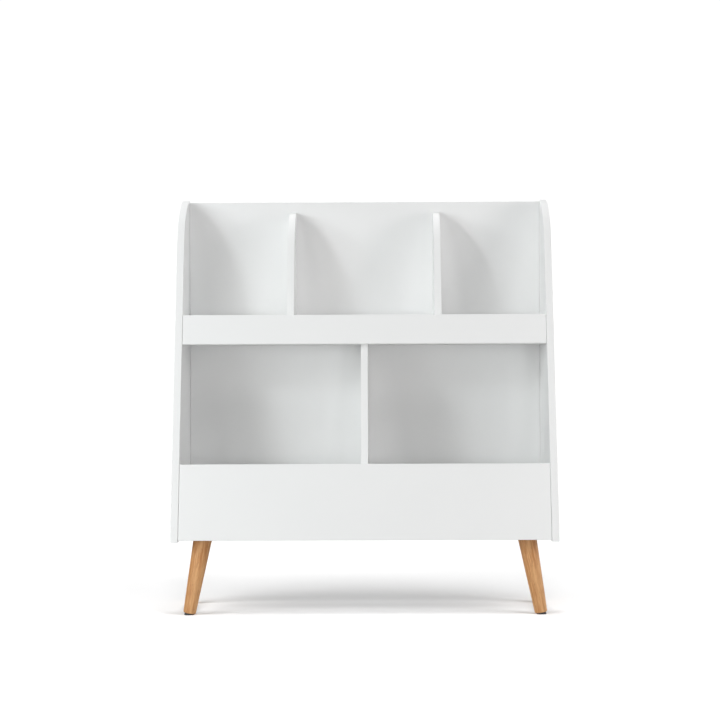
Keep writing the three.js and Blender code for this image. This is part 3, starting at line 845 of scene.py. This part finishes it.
# Softboxes: name, place, diameter, watts, colour, and what they light.
# Another program made most of this table. From candidate lamps in lists and coarse grids it chose
# which to keep, and it worked out their watts and colours by a least-squares fit of test renders to
# the tones of the photo. Only side_right, rear_left and rear_right were given outside the fit.
LIGHTS = [
    ("front", (0.00, -4.50, 0.50), 1.5, 10.9, (1.00, 1.00, 1.00), "object"),
    ("front_high", (0.00, -2.50, 3.20), 1.0, 13.4, (1.00, 1.00, 1.00), "object"),
    ("left_high", (-2.50, -2.20, 1.80), 0.6, 19.2, (0.95, 0.99, 1.00), "object"),
    ("left_low_close", (-0.80, -1.60, 0.30), 0.6, 1.5, (1.00, 0.97, 0.95), "object"),
    ("left_low_middle", (-1.80, -2.20, 0.70), 0.6, 9.8, (0.98, 1.00, 0.99), "object"),
    ("left_low_near", (-1.80, -1.40, 0.70), 0.6, 6.5, (0.95, 1.00, 1.00), "object"),
    ("right_side", (2.20, -1.20, 0.80), 0.6, 7.7, (1.00, 0.95, 0.95), "object"),
    ("top", (0.00, 0.05, 3.20), 1.0, 17.5, (1.00, 1.00, 1.00), "object"),
    ("top_rear", (0.00, 1.20, 2.60), 1.0, 22.2, (1.00, 1.00, 1.00), "object"),
    ("left_far", (-1.60, -3.00, 1.60), 0.5, 6.0, (0.99, 1.00, 0.97), "object"),
    ("left_side", (-2.60, -1.20, 1.20), 0.5, 7.3, (0.95, 0.99, 1.00), "object"),
    ("right_low_side", (1.20, -0.70, 0.50), 0.5, 1.8, (1.00, 0.98, 0.96), "object"),
    ("right_high", (1.60, -1.80, 1.50), 0.5, 1.8, (1.00, 1.00, 1.00), "object"),
    ("front_right_low", (1.00, -3.60, 0.50), 0.5, 9.4, (1.00, 1.00, 1.00), "object"),
    ("right_side_high", (2.00, -1.00, 1.60), 0.5, 3.7, (1.00, 1.00, 1.00), "object"),
    ("floor_left", (-3.32, -1.92, 3.41), 3.0, 134.0, (1.00, 1.00, 1.00), "floor"),
    ("floor_right", (3.32, -1.92, 3.41), 3.0, 112.0, (1.00, 1.00, 1.00), "floor"),
    ("floor_front_left", (-1.92, -3.32, 3.21), 2.0, 55.0, (1.00, 1.00, 1.00), "floor"),
    ("floor_front_right", (1.25, -2.17, 4.33), 2.0, 66.0, (1.00, 1.00, 1.00), "floor"),
    ("floor_front", (0.00, -4.33, 2.50), 0.8, 70.0, (1.00, 1.00, 1.00), "floor"),
    ("floor_rear", (0.00, 3.83, 3.21), 0.8, 108.0, (1.00, 1.00, 1.00), "floor"),
    ("floor_top", (0.00, 1.71, 4.70), 2.0, 38.0, (1.00, 1.00, 1.00), "floor"),
    ("side_right", (2.60, 0.60, 0.60), 1.0, 12.0, (1.00, 1.00, 1.00), "object"),
    ("rear_left", (-2.20, 2.60, 1.80), 1.2, 42.0, (1.00, 1.00, 1.00), "object"),
    ("rear_right", (2.20, 2.60, 1.20), 1.2, 30.0, (1.00, 1.00, 1.00), "object"),
]
FLOOR_BOUNCE = 16.4  # watts, from the same fit


def make_softbox(name, place, size, power, colour, collection):
    light = bpy.data.lights.new(name, "AREA")
    light.shape = "DISK"
    light.size = size
    light.energy = power
    light.color = colour
    lamp = bpy.data.objects.new(name, light)
    lamp.location = place
    lamp.rotation_euler = (Vector(place) - LOOK_AT).to_track_quat("Z", "Y").to_euler()
    bpy.context.scene.collection.objects.link(lamp)
    lamp.light_linking.receiver_collection = collection
    return lamp


def make_lights(floor):
    """Softboxes for the object and for the floor, and the light that a pale floor throws up."""
    only_floor = bpy.data.collections.new("only_floor")
    only_floor.objects.link(floor)
    all_but_floor = bpy.data.collections.new("all_but_floor")
    all_but_floor.objects.link(floor)
    all_but_floor.collection_objects[0].light_linking.link_state = "EXCLUDE"
    receivers = {"object": all_but_floor, "floor": only_floor}
    for name, place, size, power, colour, lit in LIGHTS:
        make_softbox(name, place, size, power, colour, receivers[lit])
    place, size = (0, 0, 0.0004), 2 * FLOOR_RADIUS
    bounce = make_softbox("floor_bounce", place, size, FLOOR_BOUNCE, (1, 1, 1), all_but_floor)
    bounce.rotation_euler = (math.pi, 0, 0)  # faces up
    bounce.visible_camera = False


def make_world():
    """A white backdrop that the camera sees and that lights nothing."""
    world = bpy.data.worlds.new("studio")
    world.use_nodes = True
    tree = world.node_tree
    tree.nodes.clear()
    seen = tree.nodes.new("ShaderNodeBackground")
    seen.inputs["Color"].default_value = (1, 1, 1, 1)
    seen.inputs["Strength"].default_value = 1.05
    lit = tree.nodes.new("ShaderNodeBackground")
    lit.inputs["Strength"].default_value = 0.0
    path = tree.nodes.new("ShaderNodeLightPath")
    mix = tree.nodes.new("ShaderNodeMixShader")
    output = tree.nodes.new("ShaderNodeOutputWorld")
    tree.links.new(path.outputs["Is Camera Ray"], mix.inputs["Fac"])
    tree.links.new(lit.outputs["Background"], mix.inputs[1])
    tree.links.new(seen.outputs["Background"], mix.inputs[2])
    tree.links.new(mix.outputs["Shader"], output.inputs["Surface"])
    bpy.context.scene.world = world


# The camera comes from a least-squares fit to edges measured in the photo.
CAMERA_PLACE = (0.0238, -3.9709, 0.5295)
CAMERA_LENS = 93.15  # mm
CAMERA_TURN = 0.0084  # to the left of straight ahead
CAMERA_ROLL = -0.0037


def make_camera():
    camera = bpy.data.cameras.new("camera")
    camera.sensor_width = 36
    camera.lens = CAMERA_LENS
    camera.clip_end = 60
    viewer = bpy.data.objects.new("camera", camera)
    level = Matrix.Rotation(math.pi / 2, 4, "X")
    turn = Matrix.Rotation(CAMERA_TURN, 4, "Z")
    roll = Matrix.Rotation(CAMERA_ROLL, 4, "Z")
    viewer.matrix_world = Matrix.Translation(CAMERA_PLACE) @ turn @ level @ roll
    bpy.context.scene.collection.objects.link(viewer)
    bpy.context.scene.camera = viewer


make_lights(make_floor())
make_world()
make_camera()
scene = bpy.context.scene
scene.view_settings.view_transform = "Standard"
